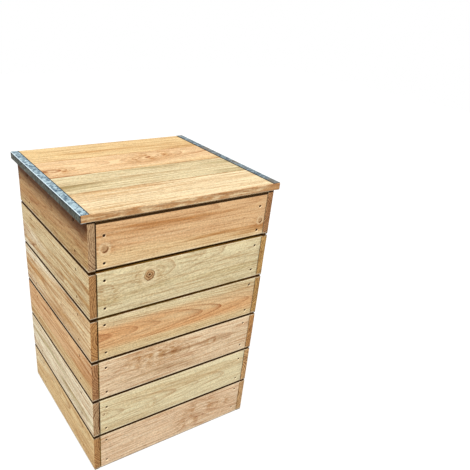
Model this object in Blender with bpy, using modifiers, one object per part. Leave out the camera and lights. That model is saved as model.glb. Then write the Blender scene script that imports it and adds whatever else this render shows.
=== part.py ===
"""Wooden compost bin with a hinged lid, a perforated steel tray and corner battens.

Four walls of planed boards are nailed to square battens, two in every corner. A tray
folded from steel sheet, with rows of holes, closes the bottom against rodents. The lid
is a row of boards gripped by a steel channel at each end, and it turns on two butt
hinges with rolled knuckles at the back. Units are metres, +Z is up, the front faces -Y
and the origin is on the ground under the middle of the walls.
"""

import math

import bmesh
import bpy
from mathutils import Matrix, Vector

# Boards of the walls
COURSES = 6
BOARD_WIDTH = 0.145
BOARD_THICKNESS = 0.020
BOARD_ARRIS = 0.003
COURSE_GAP = 0.003
FRONT_BOARD_LENGTH = 0.560
SIDE_BOARD_LENGTH = 0.560
CORNER_GAP = 0.0015
TOP_BOARD_DROP = 0.005
TOP_BOARD_TRIM = 0.007

# Battens inside the corners
BATTEN_SIZE = 0.048
BATTEN_ARRIS = 0.003
BATTEN_TOP_DROP = 0.010
BATTEN_FOOT_GAP = 0.005

# Boards and cleats of the lid
LID_BOARDS = 4
LID_THICKNESS = 0.020
LID_ARRIS = 0.001
LID_BOARD_GAP = 0.0005
LID_SIDE_OVERHANG = 0.0185
LID_FRONT_OVERHANG = 0.004
CLEAT_WIDTH = 0.045
CLEAT_THICKNESS = 0.020
CLEAT_END_GAP = 0.030
CLEAT_SIDE_GAP = 0.010

# Steel channels on the ends of the lid
CHANNEL_SHEET = 0.001
CHANNEL_TOP = 0.025
CHANNEL_LIP = 0.015
CHANNEL_BEND = 0.0005
CHANNEL_SETBACK = 0.002

# Perforated tray
TRAY_SHEET = 0.001
TRAY_RIM = 0.025
TRAY_BEND = 0.0015
TRAY_PLAY = 0.0008
TRAY_HOLE_RADIUS = 0.00275
TRAY_RELIEF_RADIUS = 0.002
TRAY_COLUMN_PITCH = 0.0525
TRAY_ROW_PITCH = 0.0475
TRAY_SIDE_MARGIN = 0.060
TRAY_END_MARGIN = 0.034

# Butt hinges
HINGE_LENGTH = 0.070
HINGE_LEAF = 0.0185
HINGE_SHEET = 0.0014
HINGE_INSET = 0.100
HINGE_PIN_RADIUS = 0.002
HINGE_PIN_PLAY = 0.0001
HINGE_PIN_HEAD = 0.0012
HINGE_KNUCKLES = 5
HINGE_KNUCKLE_GAP = 0.0003
HINGE_ROLL = math.radians(290)

# Screws: countersunk in the hinges, round heads in the tray
SCREW_RADIUS = 0.00175
SCREW_HEAD_RADIUS = 0.0033
SCREW_POINT = 0.004
HINGE_SCREW_LENGTH = 0.016
HINGE_SCREW_RISE = 0.0115
HINGE_SCREW_OFFSET = 0.022
TRAY_SCREW_LENGTH = 0.016
TRAY_SCREW_HEAD = 0.002
TRAY_SCREW_RISE = 0.014

# Space left between pieces that touch
SEAT_GAP = 0.0003

# Sizes that follow from the values above
HALF_WIDTH = FRONT_BOARD_LENGTH / 2 + CORNER_GAP + BOARD_THICKNESS
HALF_DEPTH = SIDE_BOARD_LENGTH / 2
WALL_HEIGHT = COURSES * BOARD_WIDTH + (COURSES - 1) * COURSE_GAP
LID_BOTTOM = WALL_HEIGHT + SEAT_GAP
LID_DEPTH = 2 * HALF_DEPTH + LID_FRONT_OVERHANG
BARREL_MIDDLE = HINGE_PIN_RADIUS + HINGE_PIN_PLAY + HINGE_SHEET / 2
BARREL_RADIUS = BARREL_MIDDLE + HINGE_SHEET / 2
PIVOT = Vector((0, HALF_DEPTH + SEAT_GAP + BARREL_RADIUS, WALL_HEIGHT))

# Colours, in linear light
TAN = (0.60, 0.34, 0.15)
ORANGE = (0.62, 0.30, 0.11)
GREENISH = (0.56, 0.47, 0.23)
PINKISH = (0.55, 0.32, 0.18)
YELLOW = (0.72, 0.52, 0.25)
GREY_GREEN = (0.50, 0.43, 0.25)
ZINC = (0.52, 0.56, 0.60)
BRIGHT_STEEL = (0.62, 0.62, 0.60)

# From the bottom course up, and from the front of the lid to the back
FRONT_TONES = (PINKISH, GREENISH, PINKISH, ORANGE, GREENISH, TAN)
LEFT_TONES = (YELLOW, GREENISH, TAN, PINKISH, GREENISH, TAN)
BACK_TONES = (TAN, YELLOW, PINKISH, GREENISH, ORANGE, GREENISH)
RIGHT_TONES = (GREENISH, TAN, YELLOW, PINKISH, TAN, GREENISH)
LID_TONES = (YELLOW, GREY_GREEN, ORANGE, YELLOW)


def clear_scene():
    """Remove every object that is in the file."""
    for item in list(bpy.data.objects):
        bpy.data.objects.remove(item, do_unlink=True)


def new_collection(name):
    """Make a collection in the scene."""
    collection = bpy.data.collections.new(name)
    bpy.context.scene.collection.children.link(collection)
    return collection


def finish(name, colour, roughness, metallic=0.0):
    """Make the material of one piece."""
    material = bpy.data.materials.new(name)
    material.use_nodes = True
    shader = material.node_tree.nodes["Principled BSDF"]
    shader.inputs["Base Color"].default_value = (*colour, 1)
    shader.inputs["Roughness"].default_value = roughness
    shader.inputs["Metallic"].default_value = metallic
    return material


def wood(name, colour):
    """Sawn and planed softwood."""
    return finish(name, colour, 0.72)


def zinc(name):
    """Galvanised sheet."""
    return finish(name, ZINC, 0.42, 0.9)


def steel(name):
    """Bright plated steel, for the hinges and screws."""
    return finish(name, BRIGHT_STEEL, 0.35, 1.0)


def mesh_from(bm, name):
    """Turn a bmesh into a mesh."""
    mesh = bpy.data.meshes.new(name)
    bm.to_mesh(mesh)
    bm.free()
    return mesh


def add_object(name, mesh, location, collection, material=None, parent=None, turn=(0, 0, 0)):
    """Place a mesh in the scene, under its parent if it has one."""
    item = bpy.data.objects.new(name, mesh)
    collection.objects.link(item)
    item.location = Vector(location)
    item.rotation_euler = turn
    if parent is not None:
        item.parent = parent
        item.location = Vector(location) - parent.location
    if material is not None:
        mesh.materials.append(material)
    return item


def cut(item, cutter):
    """Cut one piece with a cutter, which stays out of the model."""
    modifier = item.modifiers.new("cut " + cutter.name, "BOOLEAN")
    modifier.operation = "DIFFERENCE"
    modifier.object = cutter


def even_shading(item):
    """Keep the large flat faces flat where a rounded edge or a cut meets them."""
    modifier = item.modifiers.new("even shading", "WEIGHTED_NORMAL")
    modifier.keep_sharp = True


def hide_cutter(item):
    """Show a cutter as wires only."""
    item.hide_render = True
    item.display_type = "WIRE"
    return item


def timber(name, size, location, arris, colour, parent=None):
    """A planed board: square sawn ends and four long edges rounded off.

    The grain, and so the rounded edges, run along the longest side.
    """
    bm = bmesh.new()
    bmesh.ops.create_cube(bm, size=1)
    bmesh.ops.scale(bm, vec=size, verts=bm.verts)
    grain = size.index(max(size))
    long_edges = []
    for edge in bm.edges:
        run = edge.verts[1].co - edge.verts[0].co
        if abs(run[grain]) > max(size) / 2:
            long_edges.append(edge)
    bmesh.ops.bevel(
        bm,
        geom=long_edges,
        offset=arris,
        segments=3,
        profile=0.5,
        affect="EDGES",
        material=-1,
    )
    mesh = mesh_from(bm, name)
    mesh.shade_smooth()
    mesh.set_sharp_from_angle(angle=math.radians(50))
    return add_object(name, mesh, location, PARTS, wood(name, colour), parent)


def arc(centre, radius, start, end, steps):
    """Points on an arc in a plane, from one angle to the other."""
    points = []
    for step in range(steps + 1):
        angle = start + (end - start) * step / steps
        across = centre[0] + radius * math.cos(angle)
        up = centre[1] + radius * math.sin(angle)
        points.append((across, up))
    return points


def folded_sheet(name, path, length, thickness):
    """A mesh for sheet metal: a path in the YZ plane drawn out along X, half on each side."""
    bm = bmesh.new()
    start = []
    for across, up in path:
        start.append(bm.verts.new((-length / 2, across, up)))
    edges = []
    for one, other in zip(start, start[1:]):
        edges.append(bm.edges.new((one, other)))
    drawn = bmesh.ops.extrude_edge_only(bm, edges=edges)["geom"]
    moved = [item for item in drawn if isinstance(item, bmesh.types.BMVert)]
    bmesh.ops.translate(bm, vec=(length, 0, 0), verts=moved)
    bmesh.ops.recalc_face_normals(bm, faces=bm.faces)
    mesh = mesh_from(bm, name)
    mesh.shade_smooth()
    mesh.set_sharp_from_angle(angle=math.radians(50))
    return mesh


def thicken(item, thickness):
    """Give an open sheet its thickness, half on each side."""
    modifier = item.modifiers.new("sheet", "SOLIDIFY")
    modifier.thickness = thickness
    modifier.offset = 0
    modifier.use_even_offset = True


def turned_mesh(name, profile):
    """The edge that a turned piece is spun from, given as radius and height, top first."""
    bm = bmesh.new()
    points = []
    for radius, height in profile:
        points.append(bm.verts.new((radius, 0, height)))
    for one, other in zip(points, points[1:]):
        bm.edges.new((one, other))
    return mesh_from(bm, name)


def spin(item, steps):
    """Turn the profile of a piece once round its own Z axis."""
    modifier = item.modifiers.new("turn", "SCREW")
    modifier.steps = steps
    modifier.render_steps = steps
    modifier.use_merge_vertices = True
    modifier.merge_threshold = 0.00001
    modifier.use_smooth_shade = True
    return item


def course_bottom(course):
    """Height of the lower edge of a course, counted from 0 at the ground."""
    return course * (BOARD_WIDTH + COURSE_GAP)


def build_long_walls():
    """The front and back boards, between the side boards and ripped down at the top."""
    made = {}
    for wall, side, tones in (("front", -1, FRONT_TONES), ("back", 1, BACK_TONES)):
        for course in range(COURSES):
            low = course_bottom(course)
            high = low + BOARD_WIDTH
            if course == COURSES - 1:
                high = WALL_HEIGHT - TOP_BOARD_DROP
                low = high - (BOARD_WIDTH - TOP_BOARD_TRIM)
            name = f"{wall}_board_{course + 1}"
            size = (FRONT_BOARD_LENGTH, BOARD_THICKNESS, high - low)
            place = (0, side * (HALF_DEPTH - BOARD_THICKNESS / 2), (low + high) / 2)
            tone = tones[course % len(tones)]
            made[name] = timber(name, size, place, BOARD_ARRIS, tone)
    return made


def build_side_walls():
    """The left and right boards, which cover the ends of the front and back walls."""
    made = {}
    for wall, side, tones in (("left", -1, LEFT_TONES), ("right", 1, RIGHT_TONES)):
        for course in range(COURSES):
            name = f"{wall}_board_{course + 1}"
            size = (BOARD_THICKNESS, SIDE_BOARD_LENGTH, BOARD_WIDTH)
            place = (
                side * (HALF_WIDTH - BOARD_THICKNESS / 2),
                0,
                course_bottom(course) + BOARD_WIDTH / 2,
            )
            tone = tones[course % len(tones)]
            made[name] = timber(name, size, place, BOARD_ARRIS, tone)
    return made


def build_battens():
    """Two square battens in each corner: one for the long wall and one for the side wall."""
    foot = TRAY_RIM + BATTEN_FOOT_GAP
    head = WALL_HEIGHT - BATTEN_TOP_DROP
    size = (BATTEN_SIZE, BATTEN_SIZE, head - foot)
    middle = (head + foot) / 2
    long_x = FRONT_BOARD_LENGTH / 2 - BATTEN_SIZE / 2
    long_y = HALF_DEPTH - BOARD_THICKNESS - SEAT_GAP - BATTEN_SIZE / 2
    side_x = HALF_WIDTH - BOARD_THICKNESS - SEAT_GAP - BATTEN_SIZE / 2
    side_y = long_y - BATTEN_SIZE - SEAT_GAP
    for end, along in (("front", -1), ("back", 1)):
        for hand, across in (("left", -1), ("right", 1)):
            place = (across * long_x, along * long_y, middle)
            timber(f"{end}_batten_{hand}", size, place, BATTEN_ARRIS, GREENISH)
            place = (across * side_x, along * side_y, middle)
            timber(f"{hand}_batten_{end}", size, place, BATTEN_ARRIS, YELLOW)


def build_lid_boards(hinge_axis):
    """The boards of the lid, from the front to the back, with their grain from side to side."""
    width = (LID_DEPTH - (LID_BOARDS - 1) * LID_BOARD_GAP) / LID_BOARDS
    length = 2 * (HALF_WIDTH + LID_SIDE_OVERHANG - CHANNEL_SHEET - SEAT_GAP)
    made = []
    for number in range(LID_BOARDS):
        front = -HALF_DEPTH - LID_FRONT_OVERHANG + number * (width + LID_BOARD_GAP)
        place = (0, front + width / 2, LID_BOTTOM + LID_THICKNESS / 2)
        size = (length, width, LID_THICKNESS)
        tone = LID_TONES[number % len(LID_TONES)]
        name = f"lid_board_{number + 1}"
        made.append(timber(name, size, place, LID_ARRIS, tone, hinge_axis))
    return made


def build_lid_cleats(hinge_axis):
    """Two cleats under the lid, which hold its boards flat and drop between the battens."""
    inner_depth = 2 * (HALF_DEPTH - BOARD_THICKNESS)
    size = (CLEAT_WIDTH, inner_depth - 2 * CLEAT_END_GAP, CLEAT_THICKNESS)
    batten_face = FRONT_BOARD_LENGTH / 2 - BATTEN_SIZE
    across = batten_face - CLEAT_SIDE_GAP - CLEAT_WIDTH / 2
    height = LID_BOTTOM - SEAT_GAP - CLEAT_THICKNESS / 2
    for hand, side in (("left", -1), ("right", 1)):
        place = (side * across, 0, height)
        timber(f"lid_cleat_{hand}", size, place, BATTEN_ARRIS, TAN, hinge_axis)


def build_lid_channels(hinge_axis):
    """A steel channel folded round each end of the lid boards."""
    height = LID_THICKNESS + 2 * SEAT_GAP + 2 * CHANNEL_SHEET
    half = CHANNEL_SHEET / 2
    bend = CHANNEL_BEND + half
    quarter = math.pi / 2
    path = [(CHANNEL_TOP, height - half)]
    path += arc((half + bend, height - half - bend), bend, quarter, 2 * quarter, 4)
    path += arc((half + bend, half + bend), bend, 2 * quarter, 3 * quarter, 4)
    path.append((CHANNEL_LIP, half))
    length = LID_DEPTH - 2 * CHANNEL_SETBACK
    bottom = LID_BOTTOM - SEAT_GAP - CHANNEL_SHEET
    for hand, side in (("left", -1), ("right", 1)):
        name = f"lid_channel_{hand}"
        mesh = folded_sheet(name, path, length, CHANNEL_SHEET)
        place = (side * (HALF_WIDTH + LID_SIDE_OVERHANG), -LID_FRONT_OVERHANG / 2, bottom)
        turn = (0, 0, side * quarter)
        channel = add_object(name, mesh, place, PARTS, zinc(name), hinge_axis, turn)
        thicken(channel, CHANNEL_SHEET)


def tray_fold(half_size):
    """How far from the middle of the tray the flat floor ends and the bend of a rim starts."""
    return half_size - TRAY_SHEET - TRAY_BEND


def tray_sheet(half_x, half_y):
    """The middle surface of the tray: a floor with four rims folded up and open corners."""
    half = TRAY_SHEET / 2
    bend = TRAY_BEND + half
    bm = bmesh.new()
    bmesh.ops.create_grid(bm, x_segments=1, y_segments=1, size=1)
    bmesh.ops.scale(bm, vec=(tray_fold(half_x), tray_fold(half_y), 1), verts=bm.verts)
    bmesh.ops.translate(bm, vec=(0, 0, half), verts=bm.verts)
    bm.edges.ensure_lookup_table()
    for edge in list(bm.edges):
        middle = (edge.verts[0].co + edge.verts[1].co) / 2
        outward = Vector((middle.x, middle.y, 0)).normalized()
        hinge_line = middle + Vector((0, 0, bend))
        folded = bmesh.ops.spin(
            bm,
            geom=[edge, *edge.verts],
            cent=hinge_line,
            axis=outward.cross(Vector((0, 0, 1))),
            angle=math.pi / 2,
            steps=4,
        )["geom_last"]
        last_edges = [item for item in folded if isinstance(item, bmesh.types.BMEdge)]
        raised = bmesh.ops.extrude_edge_only(bm, edges=last_edges)["geom"]
        lift = TRAY_RIM - half - bend
        tops = [item for item in raised if isinstance(item, bmesh.types.BMVert)]
        bmesh.ops.translate(bm, vec=(0, 0, lift), verts=tops)
    bmesh.ops.recalc_face_normals(bm, faces=bm.faces)
    mesh = mesh_from(bm, "tray")
    mesh.shade_smooth()
    mesh.set_sharp_from_angle(angle=math.radians(50))
    return mesh


def count_in(length, margin, pitch):
    """How many holes at this pitch fit in a length with a margin at each end."""
    return int((length - 2 * margin) / pitch) + 1


def add_plug(bm, across, along, radius):
    """An upright round plug through the floor of the tray."""
    bmesh.ops.create_cone(
        bm,
        cap_ends=True,
        segments=10,
        radius1=radius,
        radius2=radius,
        depth=TRAY_SHEET + 4 * TRAY_BEND,
        matrix=Matrix.Translation((across, along, TRAY_SHEET / 2)),
    )


def tray_punch(half_x, half_y):
    """One cutter: a plug for every hole, and one where the bends meet in each corner."""
    columns = count_in(2 * half_x, TRAY_SIDE_MARGIN, TRAY_COLUMN_PITCH)
    rows = count_in(2 * half_y, TRAY_END_MARGIN, TRAY_ROW_PITCH)
    bm = bmesh.new()
    for column in range(columns):
        for row in range(rows):
            across = (column - (columns - 1) / 2) * TRAY_COLUMN_PITCH
            along = (row - (rows - 1) / 2) * TRAY_ROW_PITCH
            add_plug(bm, across, along, TRAY_HOLE_RADIUS)
    for side in (-1, 1):
        for end in (-1, 1):
            across = side * tray_fold(half_x)
            along = end * tray_fold(half_y)
            add_plug(bm, across, along, TRAY_RELIEF_RADIUS)
    print(f"tray: {columns} columns and {rows} rows of holes")
    return hide_cutter(add_object("tray_punch", mesh_from(bm, "tray_punch"), (0, 0, 0), CUTTERS))


def build_tray(low_boards):
    """The perforated tray and the four screws that hold its rims to the lowest boards."""
    half_x = HALF_WIDTH - BOARD_THICKNESS - TRAY_PLAY
    half_y = HALF_DEPTH - BOARD_THICKNESS - TRAY_PLAY
    tray = add_object("tray", tray_sheet(half_x, half_y), (0, 0, 0), PARTS, zinc("tray"))
    thicken(tray, TRAY_SHEET)
    cut(tray, tray_punch(half_x, half_y))
    seat_x = half_x - TRAY_SHEET - SEAT_GAP
    seat_y = half_y - TRAY_SHEET - SEAT_GAP
    quarter = math.pi / 2
    sides = (
        ("front", (0, -seat_y, TRAY_SCREW_RISE), (-quarter, 0, 0)),
        ("back", (0, seat_y, TRAY_SCREW_RISE), (quarter, 0, 0)),
        ("left", (-seat_x, 0, TRAY_SCREW_RISE), (0, quarter, 0)),
        ("right", (seat_x, 0, TRAY_SCREW_RISE), (0, -quarter, 0)),
    )
    for side, place, turn in sides:
        name = f"tray_screw_{side}"
        drill = drill_for(name, place, turn, SCREW_RADIUS, TRAY_SCREW_LENGTH)
        cut(tray, drill)
        cut(low_boards[f"{side}_board_1"], drill)
        head = arc((0, 0), 1, math.pi / 2, 0, 4)
        profile = [(SCREW_HEAD_RADIUS * across, TRAY_SCREW_HEAD * up) for across, up in head]
        profile[0] = (0, TRAY_SCREW_HEAD)
        profile += screw_shank(TRAY_SCREW_LENGTH)
        screw = add_object(name, turned_mesh(name, profile), place, PARTS, steel(name), turn=turn)
        spin(screw, 12)


def screw_shank(length):
    """The plain shank of a screw and its point, from the seat of the head down."""
    return [(SCREW_RADIUS, 0), (SCREW_RADIUS, SCREW_POINT - length), (0, -length)]


def drill_for(name, place, turn, radius, length, head_radius=None):
    """A cutter for the hole of a screw, wider than the screw, with a countersink if asked for."""
    wide = radius + SEAT_GAP
    end = -length - SEAT_GAP
    if head_radius is None:
        profile = [(0, -end), (wide, -end), (wide, end), (0, end)]
    else:
        rim = head_radius + SEAT_GAP
        profile = [(0, rim), (rim, rim), (rim, 0), (wide, wide - rim), (wide, end), (0, end)]
    drill = add_object(f"{name}_hole", turned_mesh(name, profile), place, CUTTERS, turn=turn)
    return hide_cutter(spin(drill, 12))


def knuckle_edge(number):
    """Where a knuckle of the hinge starts along the pin, measured from the middle."""
    return (number / HINGE_KNUCKLES - 0.5) * HINGE_LENGTH


def hinge_leaf(name, place, up, keeps_even, parent):
    """A leaf and its knuckles, rolled from one sheet round the pin.

    The sheet lies against the wood, up is 1 where it rises from the pin and -1 where
    it hangs, and the knuckles of the other leaf are notched out of it.
    """
    roll = arc((0, 0), BARREL_MIDDLE, math.pi, math.pi - HINGE_ROLL, 20)
    path = [(-BARREL_MIDDLE, -HINGE_LEAF), *roll]
    path = [(across, -up * height) for across, height in path]
    mesh = folded_sheet(name, path, HINGE_LENGTH, HINGE_SHEET)
    leaf = add_object(name, mesh, place, PARTS, steel(name), parent)
    thicken(leaf, HINGE_SHEET)
    margin = 2 * HINGE_SHEET
    near = up * (BARREL_RADIUS + SEAT_GAP)
    far = -up * (BARREL_RADIUS + margin)
    for number in range(HINGE_KNUCKLES):
        if (number % 2 == 0) == keeps_even:
            continue
        low = knuckle_edge(number) - HINGE_KNUCKLE_GAP / 2
        high = knuckle_edge(number + 1) + HINGE_KNUCKLE_GAP / 2
        if number == 0:
            low -= margin
        if number == HINGE_KNUCKLES - 1:
            high += margin
        size = (high - low, 2 * (BARREL_RADIUS + margin), abs(near - far))
        middle = Vector(place) + Vector(((low + high) / 2, 0, (near + far) / 2))
        bm = bmesh.new()
        bmesh.ops.create_cube(bm, size=1)
        bmesh.ops.scale(bm, vec=size, verts=bm.verts)
        notch_name = f"{name}_notch_{number + 1}"
        notch = add_object(notch_name, mesh_from(bm, notch_name), middle, CUTTERS)
        cut(leaf, hide_cutter(notch))
    return leaf


def hinge_screws(name, leaf, wood_piece, place, up, parent):
    """Two countersunk screws through a leaf, flush with its face, into the edge of a board."""
    head_depth = SCREW_HEAD_RADIUS - SCREW_RADIUS
    face = place[1] - BARREL_RADIUS + HINGE_SHEET
    height = place[2] + up * HINGE_SCREW_RISE
    turn = (-math.pi / 2, 0, 0)
    for hand, side in (("a", -1), ("b", 1)):
        spot = (place[0] + side * HINGE_SCREW_OFFSET, face, height)
        screw_name = f"{name}_screw_{hand}"
        drill = drill_for(
            screw_name, spot, turn, SCREW_RADIUS, HINGE_SCREW_LENGTH, SCREW_HEAD_RADIUS
        )
        cut(leaf, drill)
        cut(wood_piece, drill)
        shank = screw_shank(HINGE_SCREW_LENGTH)
        profile = [(0, 0), (SCREW_HEAD_RADIUS, 0), (SCREW_RADIUS, -head_depth), *shank[1:]]
        mesh = turned_mesh(screw_name, profile)
        screw = add_object(
            screw_name, mesh, spot, PARTS, steel(screw_name), parent, turn
        )
        spin(screw, 12)


def hinge_pin(name, place):
    """The pin of a hinge, with a low domed head at each end to keep it in."""
    reach = HINGE_LENGTH / 2 + SEAT_GAP
    head = (BARREL_MIDDLE + HINGE_PIN_RADIUS) / 2
    dome = arc((0, 0), 1, math.pi / 2, 0, 3)
    upper = [(head * across, reach + HINGE_PIN_HEAD * up) for across, up in dome]
    upper[0] = (0, reach + HINGE_PIN_HEAD)
    upper.append((HINGE_PIN_RADIUS, reach))
    lower = [(radius, -height) for radius, height in reversed(upper)]
    mesh = turned_mesh(name, upper + lower)
    turn = (0, math.pi / 2, 0)
    spin(add_object(name, mesh, place, PARTS, steel(name), turn=turn), 20)


def build_hinges(top_back_board, rear_lid_board, hinge_axis):
    """Two butt hinges: one leaf on the wall, one on the rear edge of the lid."""
    for hand, side in (("left", -1), ("right", 1)):
        place = Vector((side * (FRONT_BOARD_LENGTH / 2 - HINGE_INSET), PIVOT.y, PIVOT.z))
        fixed = f"hinge_{hand}_wall"
        moving = f"hinge_{hand}_lid"
        wall_leaf = hinge_leaf(f"{fixed}_leaf", place, -1, True, None)
        lid_leaf = hinge_leaf(f"{moving}_leaf", place, 1, False, hinge_axis)
        hinge_screws(fixed, wall_leaf, top_back_board, place, -1, None)
        hinge_screws(moving, lid_leaf, rear_lid_board, place, 1, hinge_axis)
        hinge_pin(f"hinge_{hand}_pin", place)


clear_scene()
PARTS = new_collection("wooden compost bin")
CUTTERS = new_collection("cutters")

lid_axis = bpy.data.objects.new("lid_hinge_axis", None)
lid_axis.location = PIVOT
PARTS.objects.link(lid_axis)

walls = {**build_long_walls(), **build_side_walls()}
build_battens()
lid_boards = build_lid_boards(lid_axis)
build_lid_cleats(lid_axis)
build_lid_channels(lid_axis)
build_tray(walls)
build_hinges(walls[f"back_board_{COURSES}"], lid_boards[-1], lid_axis)

solids = [item for item in PARTS.objects if item.type == "MESH"]
for solid in solids:
    even_shading(solid)
print(f"{len(solids)} pieces, walls {2 * HALF_WIDTH:.3f} by {2 * HALF_DEPTH:.3f} m")
print(f"walls {WALL_HEIGHT:.3f} m high, pin at y {PIVOT.y:.4f} m and z {PIVOT.z:.4f} m")
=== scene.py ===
# %% [markdown]
# A wooden compost bin, dressed for its picture
#
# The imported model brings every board, batten, steel channel and screw at its real size.
# This lesson gives them their finish: pine that is cut from a round log, so that its rings
# make flames, stripes and end-grain arcs where they should, spangled zinc, and punched
# nails. The cells run from top to bottom.

# %% Load the frame
import math
import random

import bmesh
import bpy
from mathutils import Matrix, Vector, noise


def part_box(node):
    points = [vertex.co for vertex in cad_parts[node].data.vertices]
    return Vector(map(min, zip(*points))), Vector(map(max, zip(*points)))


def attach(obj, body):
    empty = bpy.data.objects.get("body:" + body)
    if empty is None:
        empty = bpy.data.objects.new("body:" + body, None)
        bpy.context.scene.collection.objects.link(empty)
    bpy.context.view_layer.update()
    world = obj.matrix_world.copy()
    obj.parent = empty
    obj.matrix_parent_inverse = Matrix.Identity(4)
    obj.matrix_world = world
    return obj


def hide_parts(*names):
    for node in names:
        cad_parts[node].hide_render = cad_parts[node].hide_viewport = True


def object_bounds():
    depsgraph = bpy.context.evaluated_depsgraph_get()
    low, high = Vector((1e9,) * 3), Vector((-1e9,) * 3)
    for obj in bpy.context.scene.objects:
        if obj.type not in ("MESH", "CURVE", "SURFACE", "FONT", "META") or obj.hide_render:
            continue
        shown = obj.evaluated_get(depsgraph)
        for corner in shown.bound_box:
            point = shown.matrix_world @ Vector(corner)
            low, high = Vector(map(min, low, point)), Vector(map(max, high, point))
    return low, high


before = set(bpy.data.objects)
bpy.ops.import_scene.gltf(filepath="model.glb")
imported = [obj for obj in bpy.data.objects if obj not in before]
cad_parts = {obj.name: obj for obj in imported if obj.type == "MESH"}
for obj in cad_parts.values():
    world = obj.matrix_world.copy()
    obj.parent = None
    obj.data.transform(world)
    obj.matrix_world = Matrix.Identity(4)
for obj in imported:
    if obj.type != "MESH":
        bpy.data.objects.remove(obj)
cad_low, cad_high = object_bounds()
print("solids:", len(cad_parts), "height:", round(cad_high.z - cad_low.z, 4), "m")

# %% [markdown]
# The camera
#
# A camera could be aimed by eye, but the edges of the bin in the photograph fix it better:
# with the walls at their real size, only one place, turn and lens puts all the corners
# where the picture has them. The bin stands low in its picture, left of the middle, and the
# shift moves the frame there without tilting the walls.

# %% The camera
CAMERA_PLACE = (-0.7660, -1.4033, 1.4192)
CAMERA_TURN = (59.716, -3.945, -32.716)
CAMERA_LENS = 40.466
CAMERA_SHIFT = (0.0957, 0.1085)

camera_data = bpy.data.cameras.new("camera")
camera_data.sensor_width = 36
camera_data.lens = CAMERA_LENS
camera_data.shift_x, camera_data.shift_y = CAMERA_SHIFT
camera = bpy.data.objects.new("camera", camera_data)
camera.location = CAMERA_PLACE
camera.rotation_euler = [math.radians(angle) for angle in CAMERA_TURN]
bpy.context.scene.collection.objects.link(camera)
bpy.context.scene.camera = camera
bpy.context.scene.view_settings.view_transform = "Standard"
print("camera at", CAMERA_PLACE, "with a lens of", CAMERA_LENS, "mm")

# %% [markdown]
# Helpers for materials
#
# A material in Blender is a small network of nodes. Placing them by hand in the editor is
# fine for one, but here many boards share a recipe, so a few helpers add a node and plug it
# in with one call. A value can be a number, a colour or another node's socket.

# %% Helpers for numbers and vectors


def plug(tree, value, socket):
    """Give a socket a fixed value, or a link from another node's socket."""
    if isinstance(value, bpy.types.NodeSocket):
        tree.links.new(value, socket)
    elif value is not None:
        socket.default_value = value


def math_of(tree, operation, *values):
    """One step of arithmetic on numbers."""
    node = tree.nodes.new("ShaderNodeMath")
    node.operation = operation
    for value, socket in zip(values, node.inputs):
        plug(tree, value, socket)
    return node.outputs[0]


def plus(tree, one, two):
    """The sum of two numbers."""
    return math_of(tree, "ADD", one, two)


def minus(tree, one, two):
    """The first number less the second."""
    return math_of(tree, "SUBTRACT", one, two)


def times(tree, product, *values):
    """The product of two numbers or more."""
    for value in values:
        product = math_of(tree, "MULTIPLY", product, value)
    return product


def scaled(tree, value, factor, start):
    """A number times a factor, and a start added to it."""
    return math_of(tree, "MULTIPLY_ADD", value, factor, start)


def step_of(tree, value, low, high, start=0.0, end=1.0):
    """A soft step: start at low, end at high, and smooth between them."""
    node = tree.nodes.new("ShaderNodeMapRange")
    node.interpolation_type = "SMOOTHSTEP"
    for setting, socket in zip((value, low, high, start, end), node.inputs):
        plug(tree, setting, socket)
    return node.outputs[0]


def vector_of(tree, operation, *values, out="Vector"):
    """One step of arithmetic on vectors."""
    node = tree.nodes.new("ShaderNodeVectorMath")
    node.operation = operation
    for value, socket in zip(values, node.inputs):
        plug(tree, value, socket)
    return node.outputs[out]


def parts_of(tree, vector):
    """The X, Y and Z of a vector."""
    node = tree.nodes.new("ShaderNodeSeparateXYZ")
    plug(tree, vector, node.inputs[0])
    return node.outputs


def joined(tree, *parts):
    """A vector from its X, Y and Z; what isn't given is 0."""
    node = tree.nodes.new("ShaderNodeCombineXYZ")
    for part, socket in zip(parts, node.inputs):
        plug(tree, part, socket)
    return node.outputs[0]


print("helpers for numbers ready")

# %% [markdown]
# Colours, patterns and groups
#
# The same goes for mixing colours and for noise, the soft random pattern that most natural
# materials start from. A node group is a recipe with sockets of its own, so that a network
# is built once and each board only gives it other numbers.

# %% Helpers for colours and groups


def paint(code):
    """A colour as six hexadecimal digits, turned into linear light."""
    levels = [int(code[start : start + 2], 16) / 255 for start in (0, 2, 4)]
    linear = [((level + 0.055) / 1.055) ** 2.4 for level in levels]
    return (*linear, 1)


def blend_of(tree, factor, one, two, blend="MIX"):
    """Mix two colours."""
    node = tree.nodes.new("ShaderNodeMix")
    node.data_type = "RGBA"
    node.blend_type = blend
    plug(tree, factor, node.inputs[0])
    plug(tree, one, node.inputs[6])
    plug(tree, two, node.inputs[7])
    return node.outputs[2]


def noise_of(tree, vector, stretch, detail=2.0, roughness=0.5):
    """Smooth noise from 0 to 1, with so many waves to the metre along each axis."""
    node = tree.nodes.new("ShaderNodeTexNoise")
    node.inputs["Scale"].default_value = 1
    node.inputs["Detail"].default_value = detail
    node.inputs["Roughness"].default_value = roughness
    plug(tree, vector_of(tree, "MULTIPLY", vector, stretch), node.inputs["Vector"])
    return node.outputs[0]


def object_place(tree):
    """The place of a point on its object, which is its place in the model."""
    return tree.nodes.new("ShaderNodeTexCoord").outputs["Object"]


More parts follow.
